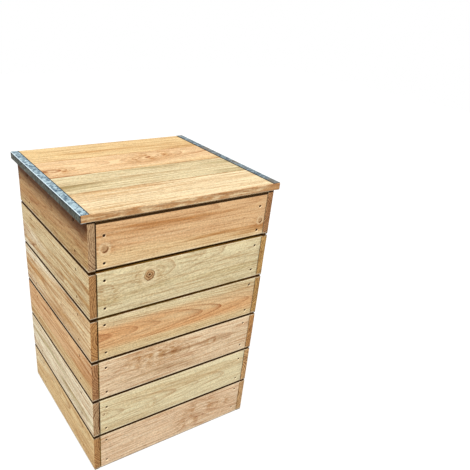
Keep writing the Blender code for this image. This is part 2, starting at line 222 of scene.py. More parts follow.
def new_group(name, inputs, outputs):
    """A node group with named sockets; a tuple in inputs is a colour or a vector."""
    tree = bpy.data.node_groups.new(name, "ShaderNodeTree")
    for label, value in inputs.items():
        kind = "NodeSocketFloat"
        if isinstance(value, tuple):
            kind = "NodeSocketColor" if len(value) == 4 else "NodeSocketVector"
        socket = tree.interface.new_socket(label, in_out="INPUT", socket_type=kind)
        socket.default_value = value
    for label in outputs:
        kind = "NodeSocketColor" if label == "Colour" else "NodeSocketFloat"
        tree.interface.new_socket(label, in_out="OUTPUT", socket_type=kind)
    given = tree.nodes.new("NodeGroupInput").outputs
    wanted = tree.nodes.new("NodeGroupOutput").inputs
    return tree, given, wanted


def use_group(tree, group, **values):
    """Place a group in a material; an underscore in a name stands for a space."""
    node = tree.nodes.new("ShaderNodeGroup")
    node.node_tree = group
    for label, value in values.items():
        plug(tree, value, node.inputs[label.replace("_", " ")])
    return node.outputs


def new_material(name):
    """A material with only its shader, ready to be plugged."""
    material = bpy.data.materials.new(name)
    material.use_nodes = True
    tree = material.node_tree
    return material, tree, tree.nodes["Principled BSDF"]


def coat(item, material):
    """Give a material to every slot of an object."""
    for slot in item.material_slots:
        slot.material = material


print("helpers for colours ready")

# %% [markdown]
# Light, floor and background
#
# The bin was pictured under a bright open sky and then cut out on white. A lamp alone would
# make hard black joints, and a sky alone would leave no shade under the lid. So a pale sky
# does most of the work and one broad, high sun from the left gives the direction. The
# camera and mirrors see pure white behind the bin, while the light that reaches the wood
# stays at a plain level.

# %% Light, floor and background
SKY_LEVEL = 0.54
SUN_LEVEL = 0.92
SUN_WIDTH = 16
SUN_FROM = Vector((-0.30, -0.45, 0.84))
FLOOR_SIZE = 14
FLOOR_BOUNCE = 0.48
FLOOR_SHADOW = 0.5
FLOOR_GAP = 0.0002


def seen_directly(tree):
    """1 for rays from the camera, from a mirror or through glass, and 0 for the rest."""
    path = tree.nodes.new("ShaderNodeLightPath")
    seen = math_of(tree, "MAXIMUM", path.outputs["Is Camera Ray"], path.outputs["Is Glossy Ray"])
    return math_of(tree, "MAXIMUM", seen, path.outputs["Is Transmission Ray"])


def light_sky():
    """A white sky, and a plain level of light from it."""
    world = bpy.data.worlds.new("white sky")
    world.use_nodes = True
    tree = world.node_tree
    sky = tree.nodes["Background"]
    sky.inputs["Color"].default_value = (1, 1, 1, 1)
    plug(tree, step_of(tree, seen_directly(tree), 0, 1, SKY_LEVEL, 1), sky.inputs["Strength"])
    bpy.context.scene.world = world


def light_sun():
    """One broad sun, high on the left."""
    lamp = bpy.data.lights.new("sun", "SUN")
    lamp.energy = SUN_LEVEL * math.pi
    lamp.angle = math.radians(SUN_WIDTH)
    sun = bpy.data.objects.new("sun", lamp)
    sun.rotation_euler = SUN_FROM.to_track_quat("Z", "Y").to_euler()
    bpy.context.scene.collection.objects.link(sun)


def lay_floor():
    """A wide pale floor, white where it is seen."""
    bm = bmesh.new()
    bmesh.ops.create_grid(bm, x_segments=1, y_segments=1, size=FLOOR_SIZE / 2)
    mesh = bpy.data.meshes.new("floor")
    bm.to_mesh(mesh)
    bm.free()
    floor = bpy.data.objects.new("floor", mesh)
    bpy.context.scene.collection.objects.link(floor)
    material, tree, shader = new_material("pale floor")
    level = FLOOR_BOUNCE
    shader.inputs["Base Color"].default_value = (level, level, level, 1)
    shader.inputs["Roughness"].default_value = 1
    shader.inputs["Specular IOR Level"].default_value = 0
    shader.inputs["Emission Color"].default_value = (1, 1, 1, 1)
    glow = times(tree, seen_directly(tree), FLOOR_SHADOW)
    plug(tree, glow, shader.inputs["Emission Strength"])
    mesh.materials.append(material)
    floor.location.z = cad_low.z - FLOOR_GAP


light_sky()
light_sun()
lay_floor()
print("sky", SKY_LEVEL, "sun", SUN_LEVEL)

# %% [markdown]
# Knots
#
# A knot is the root of a branch, sawn across. On a real board the growth rings swell round
# it like water round a stone, it has a dark rim of bark, rings of its own and often a dark
# heart. A spot painted on the face would miss all that. This group measures how far a point
# is from the branch's axis, counted in knot radii, and gives back five things: the swell
# for the rings around it, a mask for where the knot is, a pale halo close to it, a stain in
# the swirl that surrounds it, and its own colour. Small knots are a filled spot with a hook
# of bark. Only a big one has rings, a heart and a full rim.

# %% The knot recipe
KNOT_HEART = paint("4e2f18")
KNOT_RIM = paint("784a26")
KNOT_WOOD = paint("c8a374")
SWIRL_REACH = (0.30, 0.55, 0)
SMALL_TO_BIG = (0.012, 0.016)
RING_TURNS = 12.6


def around_knot(tree, given):
    """The place and the distance of a point from the branch's axis, in knot radii."""
    x, y, z = parts_of(tree, given["Board"])
    lean = times(tree, z, given["Lean"])
    along = minus(tree, minus(tree, x, given["Along"]), lean)
    along = math_of(tree, "DIVIDE", along, given["Radius"])
    across = math_of(tree, "DIVIDE", minus(tree, y, given["Across"]), given["Radius"])
    spot = joined(tree, along, across)
    ragged = noise_of(tree, spot, (0.9, 1.3, 1), detail=3)
    distance = vector_of(tree, "LENGTH", spot, out="Value")
    distance = plus(tree, distance, scaled(tree, ragged, 0.7, -0.35))
    side = minus(tree, along, times(tree, across, 1.2))
    return spot, distance, side


def knot_swirl(tree, spot, distance):
    """How much the rings swell at a point, and how much the swirl is stained there."""
    eye = vector_of(tree, "MULTIPLY", spot, SWIRL_REACH)
    square = vector_of(tree, "DOT_PRODUCT", eye, eye, out="Value")
    swell = math_of(tree, "EXPONENT", times(tree, square, -1))
    ripple = noise_of(tree, spot, (0.7, 1.9, 1), detail=4, roughness=0.7)
    stain = times(tree, swell, step_of(tree, ripple, 0.40, 0.56))
    return swell, times(tree, stain, step_of(tree, distance, 1.0, 1.6))


def knot_colour(tree, radius, distance, bark, grown):
    """Rings of two browns, the rim of bark and the dark heart."""
    rings = math_of(tree, "COSINE", times(tree, distance, RING_TURNS))
    rings = step_of(tree, rings, -0.3, 0.8, 0, 0.9)
    rings = times(tree, rings, step_of(tree, radius, 0.006, 0.015))
    colour = blend_of(tree, rings, KNOT_WOOD, KNOT_RIM)
    colour = blend_of(tree, bark, colour, KNOT_RIM)
    heart = times(tree, step_of(tree, distance, 0.3, 0.12), grown)
    return blend_of(tree, heart, colour, KNOT_HEART)


def make_knot_group():
    """A knot: swell, mask, halo, stain and colour from the place on the board."""
    inputs = {
        "Board": (0.0, 0.0, 0.0),
        "Along": 0.0,
        "Across": 0.0,
        "Radius": 0.01,
        "Lean": 0.3,
        "Shown": 1.0,
    }
    outputs = ("Swell", "Mask", "Halo", "Stain", "Colour")
    tree, given, wanted = new_group("knot", inputs, outputs)
    spot, distance, side = around_knot(tree, given)
    swell, stain = knot_swirl(tree, spot, distance)
    near = times(tree, step_of(tree, distance, 1.0, 1.15), step_of(tree, distance, 1.9, 1.3))
    grown = step_of(tree, given["Radius"], *SMALL_TO_BIG)
    bark = step_of(tree, side, -0.9, 0.9, times(tree, grown, 0.35), 1.0)
    inner = scaled(tree, grown, 0.22, 0.44)
    bark = times(tree, bark, step_of(tree, distance, inner, plus(tree, inner, 0.2)))
    mask = math_of(tree, "MAXIMUM", bark, scaled(tree, grown, 0.5, 0.5))
    mask = times(tree, mask, step_of(tree, distance, 1.04, 0.82))
    plug(tree, times(tree, swell, given["Radius"]), wanted["Swell"])
    plug(tree, times(tree, mask, given["Shown"]), wanted["Mask"])
    plug(tree, times(tree, near, given["Shown"]), wanted["Halo"])
    plug(tree, stain, wanted["Stain"])
    colour = knot_colour(tree, given["Radius"], distance, bark, grown)
    plug(tree, colour, wanted["Colour"])
    return tree


KNOT = make_knot_group()
print("knot group:", len(KNOT.nodes), "nodes")

# %% [markdown]
# Pine, cut from a log
#
# Wood is often made by stretching noise along the grain, which gives stripes on every side,
# also on the sawn ends. Here the colour comes from the distance to the middle of the tree,
# the pith. That line runs beside the board, a little out of parallel, and the rings round it
# are cut by the board's faces as a saw cuts them: stripes where the saw met them square,
# long flames where it ran along them, and arcs on the ends. A tree is never quite round, so
# two slow waves of noise bend the rings, and a knot pushes them aside.

# %% Rings round the pith
RING_WAVES = (((1.3, 7, 7), 0.030), ((7, 42, 42), 0.005))
SEASON_DRIFT = 1.6


def pith_distance(tree, given, place, x, y, z):
    """The distance of a point from the pith, in metres, with the tree's unevenness."""
    across = minus(tree, y, given["Pith Across"])
    across = minus(tree, across, times(tree, x, given["Slope Across"]))
    depth = plus(tree, z, given["Pith Depth"])
    depth = plus(tree, depth, times(tree, x, given["Slope Depth"]))
    radius = vector_of(tree, "LENGTH", joined(tree, across, depth), out="Value")
    for stretch, reach in RING_WAVES:
        wave = scaled(tree, noise_of(tree, place, stretch), reach, -reach / 2)
        radius = plus(tree, radius, times(tree, wave, given["Wander"]))
    return minus(tree, radius, given["Swell"])


def late_wood(tree, given, radius):
    """How dark a ring is: pale in spring, darkest in autumn, and no two years alike."""
    count = math_of(tree, "DIVIDE", radius, given["Ring Width"])
    season = tree.nodes.new("ShaderNodeTexNoise")
    season.noise_dimensions = "1D"
    season.inputs["Scale"].default_value = 0.4
    plug(tree, count, season.inputs["W"])
    count = plus(tree, count, times(tree, season.outputs[0], SEASON_DRIFT))
    count = plus(tree, count, given["Seed"])
    phase = math_of(tree, "FRACT", count)
    year = tree.nodes.new("ShaderNodeTexWhiteNoise")
    year.noise_dimensions = "1D"
    plug(tree, math_of(tree, "FLOOR", count), year.inputs["W"])
    dark = math_of(tree, "POWER", phase, given["Ring Sharpness"])
    dark = times(tree, dark, step_of(tree, phase, 1.0, 0.93))
    return times(tree, dark, scaled(tree, year.outputs[0], 0.7, 0.3))


print("rings ready")

# %% [markdown]
# The colour of planed pine
#
# Near the pith pine is orange heartwood, and outside it pale sapwood, on some boards of this
# bin a little greenish. On top of that come the dark late wood of each ring, broad streaks,
# hair-thin lines along the grain, short flecks, and the stain round a knot. Each is a mask
# that multiplies the colour by a brown, or screens a pale tone over it, so that what lies
# below still shows.

# %% The colour of planed pine
PALE_STREAK = paint("5c5240")
LATE_BROWN = paint("b0763f")
THIN_LINE = paint("c2976a")
PALE_LINE = paint("7a7058")
FLECK_BROWN = paint("b98f63")
PATCH_BROWN = paint("b07c50")
SWIRL_BROWN = paint("c49a60")
# The brown of the painted shade that the lid leaves on a top board.
LID_SHADE = paint("7f6142")


def heart_and_sap(tree, given, place, x, y, radius):
    """Heartwood near the pith and sapwood outside it, with an uneven border."""
    border = noise_of(tree, place, (2.2, 30, 30), detail=3)
    heart = plus(tree, radius, scaled(tree, border, 0.03, -0.015))
    heart = minus(tree, heart, given["Heart Radius"])
    heart = minus(tree, heart, times(tree, x, given["Heart Taper"]))
    heart = math_of(tree, "DIVIDE", heart, given["Heart Fade"])
    heart = step_of(tree, heart, 1.0, -1.0)
    below = step_of(tree, y, 0.015, -0.03)
    sap = blend_of(tree, below, given["Sapwood"], given["Lower Sapwood"])
    return blend_of(tree, heart, sap, given["Heartwood"])


def grain_marks(tree, given, place, dark, mottle, colour):
    """Streaks, rings, lines, flecks, patches and knot stains, one over another."""
    broad = noise_of(tree, place, (1.7, 26, 26), detail=4, roughness=0.6)
    lines = noise_of(tree, place, (5, 170, 170), detail=4, roughness=0.75)
    fleck = noise_of(tree, place, (42, 300, 300), detail=2, roughness=0.6)
    clear = plus(tree, times(tree, given["Swell"], given["Knot Rings"]), given["Ring Contrast"])
    streaks = given["Streaks"]
    thin = given["Line Contrast"]
    marks = (
        (step_of(tree, broad, 0.50, 0.72), streaks, given["Streak Tone"], "MULTIPLY"),
        (step_of(tree, broad, 0.46, 0.28), streaks, PALE_STREAK, "SCREEN"),
        (dark, clear, LATE_BROWN, "MULTIPLY"),
        (step_of(tree, lines, 0.47, 0.68), thin, THIN_LINE, "MULTIPLY"),
        (step_of(tree, lines, 0.50, 0.30), thin, PALE_LINE, "SCREEN"),
        (step_of(tree, fleck, 0.60, 0.72), thin, FLECK_BROWN, "MULTIPLY"),
        (step_of(tree, mottle, 0.52, 0.68), given["Patches"], PATCH_BROWN, "MULTIPLY"),
        (given["Stain"], given["Stain Depth"], SWIRL_BROWN, "MULTIPLY"),
    )
    for mark, strength, tone, blend in marks:
        colour = blend_of(tree, times(tree, mark, strength), colour, tone, blend)
    return colour


def shaded_top(tree, given, y, colour):
    """Painted shade: the brown shadow that the lid leaves on the upper part of a top board."""
    head = step_of(tree, minus(tree, y, given["Half Width"]), -0.085, -0.015)
    return blend_of(tree, times(tree, head, given["Top Stain"]), colour, LID_SHADE, "MULTIPLY")


def fibre_level(tree, place, fibre, mottle):
    """The light and dark of single fibres, as a grey that multiplies the colour."""
    fuzz = noise_of(tree, place, (170, 240, 240), detail=3, roughness=0.7)
    level = scaled(tree, fibre, 0.34, 0.83)
    level = times(tree, level, scaled(tree, fuzz, 1.2, 0.4), scaled(tree, mottle, 0.24, 0.88))
    return joined(tree, level, level, level)


print("colours of planed pine ready")

# %% [markdown]
# Ends, edges and hammer marks
#
# A saw leaves the end of a board darker and rougher than a planed face, with the rings as
# arcs. The long edges go pale where they are rubbed, partly as a painted highlight, and dark
# in the joint between two boards, partly with dirt and partly with painted shade, widest on
# the lower arris. The hammer leaves a pale rim round each nail, partly a painted highlight,
# and the wood is darker deep in the dimple. All of these are painted by how far a point lies
# from the end, the edge or the face, in metres, with what is inside the board counted below 0.

# %% Ends, edges and hammer marks
END_ARC = paint("8a6038")
END_RIM = paint("8a6240")
END_RAY = paint("8f6a44")
# The pale of worn wood, also a painted highlight on edges and on the rims of dimples.
PALE_WEAR_AND_HIGHLIGHT = paint("f0dfbc")
JOINT_DIRT = paint("cdaa88")
# The near-black brown of the painted shadow under the lid.
TOP_SHADOW_BROWN = paint("1c1206")
# The darker brown deep in each dimple.
DIMPLE_BROWN = paint("6b4a2e")
END_FACE = (-1.0, -0.35)
BEFORE_END = (-1.0, -1.2)
RIM_BAND = (-0.009, -0.001)
PALE_EDGE_BAND = (-0.0072, -0.0034)
JOINT_BAND = (-0.0030, -0.0016)
RUBBED_BAND = (-0.004, -0.002)
FLAT_OF_FACE = (-0.0050, -0.0060)
BACK_ARRIS = (-0.0080, -0.0093)
BEHIND_FRONT = (0.0080, 0.0065)
PALE_RIM_TOP = (-0.0002, -0.0006)
PALE_RIM_FLOOR = (-0.0026, -0.0020)
DIMPLE_DARK_TOP = (-0.0020, -0.0030)
DIMPLE_DARK_FLOOR = (-0.0050, -0.0045)
TOP_SHADOW_STRENGTH = 180


def sawn_end(tree, given, place, dark, rim, sawn, colour):
    """The end's own tone with arcs, a dirty rim and rays."""
    ray = noise_of(tree, place, (60, 130, 420), detail=3, roughness=0.7)
    tone = given["End Tone"]
    marks = (
        (step_of(tree, dark, 0.0, 0.45), END_ARC),
        (step_of(tree, rim, *RIM_BAND, 0, 0.6), END_RIM),
        (step_of(tree, ray, 0.45, 0.75), END_RAY),
    )
    for mark, brown in marks:
        tone = blend_of(tree, mark, tone, brown, "MULTIPLY")
    return blend_of(tree, sawn, colour, tone)


def long_edges(tree, given, z, edge, lower, sawn, mottle, colour):
    """Worn edges and painted highlight, joint dirt and painted shade, and the lid's painted
    shadow.
    """
    # Pale edges in patches: wear, and in part a painted highlight along the arris.
    worn_and_lit = times(tree, step_of(tree, edge, *PALE_EDGE_BAND), step_of(tree, mottle, 0.3, 0.6))
    colour = blend_of(tree, times(tree, worn_and_lit, given["Wear And Highlight"]), colour, PALE_WEAR_AND_HIGHLIGHT)
    upper = minus(tree, 1.0, lower)
    open_top = minus(tree, 1.0, given["Top Edge Dark"])
    bare = times(tree, upper, open_top, step_of(tree, z, *BEHIND_FRONT))
    bare = times(tree, bare, minus(tree, 1.0, sawn))
    # Painted shadow: along a board's upper edge the dark band is widened, and under the lid it
    # goes near-black.
    top_shadow = times(tree, upper, given["Top Grime"])
    # The dark joint along the long edges: dirt in patches, and painted shade between the boards.
    joint = times(
        tree, step_of(tree, plus(tree, edge, top_shadow), *JOINT_BAND), given["Edge Dark"]
    )
    joint = times(tree, joint, minus(tree, 1.0, bare))
    dirty = step_of(tree, mottle, 0.42, 0.56, 0, 0.8)
    tone = blend_of(tree, dirty, given["Edge Tone"], JOINT_DIRT, "MULTIPLY")
    colour = blend_of(tree, joint, colour, tone, "MULTIPLY")
    colour = blend_of(tree, times(tree, joint, top_shadow, TOP_SHADOW_STRENGTH), colour, TOP_SHADOW_BROWN)
    rubbed = times(tree, step_of(tree, z, *BACK_ARRIS), lower)
    rubbed = times(tree, rubbed, step_of(tree, edge, *RUBBED_BAND, 0, 0.7), given["Pale Arris"])
    return blend_of(tree, rubbed, colour, PALE_WEAR_AND_HIGHLIGHT)


def hammer_marks(tree, given, z, ends, edge, colour):
    """The pale rim of each dimple, partly a painted highlight, and a darker brown deep in it."""
    deep = minus(tree, z, given["Face Depth"])
    inside = step_of(tree, ends, *BEFORE_END)
    flat = step_of(tree, edge, *FLAT_OF_FACE)
    # Pale rim: crushed wood, and in part a painted highlight on the dimple's rim.
    pale_rim = times(tree, step_of(tree, deep, *PALE_RIM_TOP), given["Pale Rim"], given["Punched"])
    pale_rim = times(tree, pale_rim, step_of(tree, deep, *PALE_RIM_FLOOR), inside, flat)
    colour = blend_of(tree, pale_rim, colour, PALE_WEAR_AND_HIGHLIGHT)
    # A darker brown deep in the dimple.
    pit = step_of(tree, minus(tree, deep, given["Pit Reach"]), *DIMPLE_DARK_TOP)
    pit = times(tree, pit, given["Punched"], step_of(tree, deep, *DIMPLE_DARK_FLOOR), inside, flat)
    return blend_of(tree, pit, colour, DIMPLE_BROWN, "MULTIPLY")


print("ends and edges ready")

# %% [markdown]
# The whole recipe for pine
#
# The steps are chained in one node group. Each board has its own line of the pith, its own
# ring width and its own colours, so these are sockets of the group. What is written here
# beside a socket's name is only what a board gets if it doesn't say otherwise.

# %% The whole recipe for pine
KNOT_HALO = paint("ecd6ac")
PINE_SOCKETS = {
    "Board": (0.0, 0.0, 0.0),
    "Seed": 0.0,
    "Pith Across": 0.0,
    "Pith Depth": 0.06,
    "Slope Across": 0.0,
    "Slope Depth": 0.03,
    "Wander": 1.0,
    "Ring Width": 0.006,
    "Ring Contrast": 0.9,
    "Ring Sharpness": 3.2,
    "Knot Rings": 0.0,
    "Sapwood": paint("d2c193"),
    "Lower Sapwood": paint("d2c193"),
    "Heartwood": paint("cf9c66"),
    "Heart Radius": 0.05,
    "Heart Fade": 0.007,
    "Heart Taper": 0.0,
    "Half Length": 0.28,
    "Half Width": 0.0725,
    "Face Depth": 0.01,
    "Punched": 0.0,
    "Streaks": 0.5,
    "Streak Tone": paint("d2ac7c"),
    "Swell": 0.0,
    "Knots": 0.0,
    "Halo": 0.0,
    "Stain": 0.0,
    "Knot Colour": paint("7d5028"),
    "End Tone": paint("b58753"),
    "Edge Tone": paint("6e5520"),
    "Edge Dark": 1.0,
    "Top Edge Dark": 1.0,
    "Wear And Highlight": 0.75,
    "End Reach": 0.0012,
    "Line Contrast": 0.7,
    "Stain Depth": 0.6,
    "Top Grime": 0.0,
    "Pale Arris": 0.0,
    "Pale Rim": 0.5,
    "Pit Reach": 0.0,
    "Patches": 0.0,
    "Top Stain": 0.0,
}


def make_pine_group():
    """Planed pine: colour, relief and roughness at a point measured from the board's middle."""
    outputs = ("Colour", "Height", "Roughness")
    tree, given, wanted = new_group("planed pine", PINE_SOCKETS, outputs)
    x, y, z = parts_of(tree, given["Board"])
    offset = vector_of(tree, "SCALE", (3.1, 1.7, 2.3))
    plug(tree, given["Seed"], offset.node.inputs["Scale"])
    place = vector_of(tree, "ADD", given["Board"], offset)
    fibre = noise_of(tree, place, (16, 900, 900), detail=2, roughness=0.6)
    mottle = noise_of(tree, place, (14, 60, 60), detail=3, roughness=0.6)

    radius = pith_distance(tree, given, place, x, y, z)
    dark = late_wood(tree, given, radius)
    colour = heart_and_sap(tree, given, place, x, y, radius)
    colour = grain_marks(tree, given, place, dark, mottle, colour)
    colour = shaded_top(tree, given, y, colour)

    ends = minus(tree, math_of(tree, "ABSOLUTE", x), given["Half Length"])
    ends = math_of(tree, "DIVIDE", ends, given["End Reach"])
    sawn = step_of(tree, ends, *END_FACE)
    edge = minus(tree, math_of(tree, "ABSOLUTE", y), given["Half Width"])
    colour = sawn_end(tree, given, place, dark, edge, sawn, colour)
    lower = step_of(tree, y, 0.001, -0.001)
    # Painted shade: the dark joint band reaches further onto the lower arris, which faces down.
    edge = plus(tree, edge, times(tree, lower, 0.0018))
    colour = long_edges(tree, given, z, edge, lower, sawn, mottle, colour)
    colour = hammer_marks(tree, given, z, ends, edge, colour)

    colour = blend_of(tree, times(tree, given["Halo"], 0.4), colour, KNOT_HALO)
    colour = blend_of(tree, given["Knots"], colour, given["Knot Colour"])
    level = fibre_level(tree, place, fibre, mottle)
    plug(tree, vector_of(tree, "MULTIPLY", colour, level), wanted["Colour"])
    height = plus(tree, scaled(tree, dark, 0.5, 0.2), times(tree, fibre, 0.5))
    height = plus(tree, height, times(tree, given["Knots"], 0.5))
    plug(tree, height, wanted["Height"])
    plug(tree, scaled(tree, fibre, 0.25, 0.55), wanted["Roughness"])
    return tree


PINE = make_pine_group()
print("pine group:", len(PINE.nodes), "nodes")

# %% [markdown]
# A board's own material
#
# One group serves every board, and what differs is given to it as numbers. First a Mapping
# node of the kind Texture brings each point into the board's own space: X along the grain,
# Y across it and Z out of the face that shows. Then its knots are chained, and the pine
# recipe paints the rest. A bump node lets the fibres and rings stand up a little.

# %% A board's own material
QUARTER = math.pi / 2
BOARD_TURNS = {
    "front": (QUARTER, 0, 0),
    "back": (QUARTER, 0, math.pi),
    "left": (QUARTER, 0, -QUARTER),
    "right": (QUARTER, 0, QUARTER),
    "lid": (0, 0, 0),
    "batten": (0, -QUARTER, 0),
    "cleat": (0, 0, QUARTER),
}
BOARD_AXES = {
    "front": "xzy",
    "back": "xzy",
    "left": "yzx",
    "right": "yzx",
    "lid": "xyz",
    "batten": "zyx",
    "cleat": "yxz",
}
PINE_RELIEF = 0.0004
RELIEF_STRENGTH = 0.7


def chain_knots(tree, board, knots):
    """The knots of one board: what they do together, by the names of the pine sockets."""
    swell = mask = halo = stain = 0.0
    colour = KNOT_RIM
    for along, across, radius, shown in knots:
        knot = use_group(
            tree, KNOT, Board=board, Along=along, Across=across, Radius=radius, Shown=shown
        )
        swell = plus(tree, swell, knot["Swell"])
        colour = blend_of(tree, knot["Mask"], colour, knot["Colour"])
        mask = math_of(tree, "MAXIMUM", mask, knot["Mask"])
        halo = math_of(tree, "MAXIMUM", halo, knot["Halo"])
        stain = math_of(tree, "MAXIMUM", stain, knot["Stain"])
    return {"Swell": swell, "Knots": mask, "Halo": halo, "Stain": stain, "Knot_Colour": colour}


def pine_material(name, lie, middle, size, grain, knots=()):
    """Planed pine for one board. lie names how the board lies, grain its own numbers."""
    material, tree, shader = new_material(name)
    turn = tree.nodes.new("ShaderNodeMapping")
    turn.vector_type = "TEXTURE"
    turn.inputs["Location"].default_value = middle
    turn.inputs["Rotation"].default_value = BOARD_TURNS[lie]
    plug(tree, object_place(tree), turn.inputs["Vector"])
    board = turn.outputs[0]
    halves = dict(zip(("Half_Length", "Half_Width", "Face_Depth"), (side / 2 for side in size)))
    swirls = chain_knots(tree, board, knots)
    pine = use_group(tree, PINE, Board=board, **halves, **swirls, **grain)
    plug(tree, pine["Colour"], shader.inputs["Base Color"])
    plug(tree, pine["Roughness"], shader.inputs["Roughness"])
    shader.inputs["Specular IOR Level"].default_value = 0.08
    bump = tree.nodes.new("ShaderNodeBump")
    bump.inputs["Strength"].default_value = RELIEF_STRENGTH
    bump.inputs["Distance"].default_value = PINE_RELIEF
    plug(tree, pine["Height"], bump.inputs["Height"])
    plug(tree, bump.outputs[0], shader.inputs["Normal"])
    return material


def node_middle(node):
    """The middle of a CAD node."""
    low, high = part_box(node)
    return (low + high) / 2


def size_along_grain(node, lie):
    """Length, width and thickness of a CAD board, in the order of its own space."""
    low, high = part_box(node)
    return tuple(getattr(high - low, axis) for axis in BOARD_AXES[lie])


def dress_board(node, lie, grain, knots=()):
    """Give a CAD board its own pine."""
    size = size_along_grain(node, lie)
    material = pine_material(f"pine of {node}", lie, node_middle(node), size, grain, knots)
    coat(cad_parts[node], material)


print("board materials ready")

# %% [markdown]
# Boards with punched nails
#
# The CAD boards are perfectly straight. Real ones wander by half a millimetre, are cupped a
# little, and every nail sits in a dimple that the hammer left. Each board starts as a cube
# that is scaled, gets its arrises from a bevel and is then sliced along its length, so that
# soft noise can bend it. A Boolean takes out the dimples, and the nail heads are pieces of
# their own.

# %% Boards with punched nails
BOARD_ARRIS = 0.003
END_EASE = 0.0006
SLICE = 0.028
EDGE_WANDER = 0.0010
WANDER_WAVES = 9
CUP = 0.0006
CUP_LINES = (-0.25, 0, 0.25)
DIMPLE_RADIUS = 0.0057
DIMPLE_FLOOR = 0.0033
DIMPLE_DEPTH = 0.0036
NAIL_RADIUS = 0.0031
NAIL_THICKNESS = 0.0008
NAIL_TAPER = 0.75
NAIL_SIDES = 12
NAIL_RISE = (0.043, -0.047)
NAIL_SLIP = 0.002
NAIL_JITTER = 0.0015
NAIL_INSETS = {"front": 0.024, "back": 0.024, "left": 0.0926, "right": 0.0926}
SHARP_ANGLE = 40
# Dark ends of the front and back boards: painted shadow in the narrow gaps at the corners.
DARK_EDGE = paint("3c250e")
BLACK_END = {"End_Tone": DARK_EDGE, "End_Reach": 0.003}


def mesh_object(name, bm):
    """Turn a bmesh into an object at the origin."""
    mesh = bpy.data.meshes.new(name)
    bm.to_mesh(mesh)
    bm.free()
    item = bpy.data.objects.new(name, mesh)
    bpy.context.scene.collection.objects.link(item)
    return item


def lay(lie, middle):
    """The matrix that lays a board made along X in its place."""
    turn = Matrix.Identity(4)
    for axis, angle in zip("XYZ", BOARD_TURNS[lie]):
        turn = Matrix.Rotation(angle, 4, axis) @ turn
    return Matrix.Translation(middle) @ turn


def slice_at(bm, place, facing):
    """Cut every face that a plane passes through, and keep both halves."""
    everything = [*bm.verts, *bm.edges, *bm.faces]
    bmesh.ops.bisect_plane(bm, geom=everything, plane_co=place, plane_no=facing)


def saw_board(size, seed):
    """A planed board along X with rounded arrises, eased ends and a slight wander."""
    length, width = size[:2]
    bm = bmesh.new()
    bmesh.ops.create_cube(bm, size=1)
    bmesh.ops.scale(bm, vec=size, verts=bm.verts)
    runs = [e for e in bm.edges if abs(e.verts[0].co.x - e.verts[1].co.x) > length / 2]
    bmesh.ops.bevel(
        bm, geom=runs, offset=BOARD_ARRIS, segments=4, profile=0.5, affect="EDGES", material=-1
    )
    rims = [e for e in bm.edges if abs(e.verts[0].co.x - e.verts[1].co.x) < length / 2]
    bmesh.ops.bevel(
        bm, geom=rims, offset=END_EASE, segments=2, profile=0.5, affect="EDGES", material=-1
    )
    slices = int(length / SLICE)
    for number in range(1, slices):
        slice_at(bm, ((number / slices - 0.5) * length, 0, 0), (1, 0, 0))
    for share in CUP_LINES:
        slice_at(bm, (0, share * width, 0), (0, 1, 0))
    for vert in bm.verts:
        side = vert.co.y / (width / 2)
        spot = Vector((vert.co.x * WANDER_WAVES, side * 0.4, seed))
        vert.co.y -= EDGE_WANDER * side * (0.5 + 0.5 * noise.noise(spot))
        vert.co.z += CUP * (side * side - 0.4) * math.cos(seed * 5)
    return bm


def carved(blank, cutter, name):
    """Take the cutter out of the blank with a Boolean, and clear both away."""
    carve = blank.modifiers.new("carve", "BOOLEAN")
    carve.operation = "DIFFERENCE"
    carve.object = cutter
    graph = bpy.context.evaluated_depsgraph_get()
    mesh = bpy.data.meshes.new_from_object(blank.evaluated_get(graph))
    mesh.name = name
    for spare in (blank, cutter):
        bpy.data.objects.remove(spare, do_unlink=True)
    return mesh


def nail_spots(length, inset, rises, dice):
    """Where the nails of a board are, along and across it."""
    spots = []
    for end in (-1, 1):
        for rise in rises:
            along = end * (length / 2 - inset) + dice.uniform(-NAIL_SLIP, NAIL_SLIP)
            spots.append((along, rise + dice.uniform(-NAIL_JITTER, NAIL_JITTER)))
    return spots


def dimples(spots, face):
    """A cutter with one blunt cone for each nail."""
    bm = bmesh.new()
    for along, across in spots:
        bmesh.ops.create_cone(
            bm,
            cap_ends=True,
            segments=NAIL_SIDES,
            radius1=DIMPLE_FLOOR,
            radius2=DIMPLE_RADIUS + (DIMPLE_RADIUS - DIMPLE_FLOOR),
            depth=2 * DIMPLE_DEPTH,
            matrix=Matrix.Translation((along, across, face)),
        )
    return bm


def nail_heads(bm, spots, face, place):
    """Add the heads of a board's nails, each at the bottom of its dimple."""
    for along, across in spots:
        spot = Matrix.Translation((along, across, face - DIMPLE_DEPTH + NAIL_THICKNESS / 2))
        bmesh.ops.create_cone(
            bm,
            cap_ends=True,
            segments=NAIL_SIDES,
            radius1=NAIL_RADIUS,
            radius2=NAIL_RADIUS * NAIL_TAPER,
            depth=NAIL_THICKNESS,
            matrix=place @ spot,
        )


def smooth_faces(item):
    """Smooth the rounded parts and keep the real corners."""
    item.data.shade_smooth()
    item.data.set_sharp_from_angle(angle=math.radians(SHARP_ANGLE))


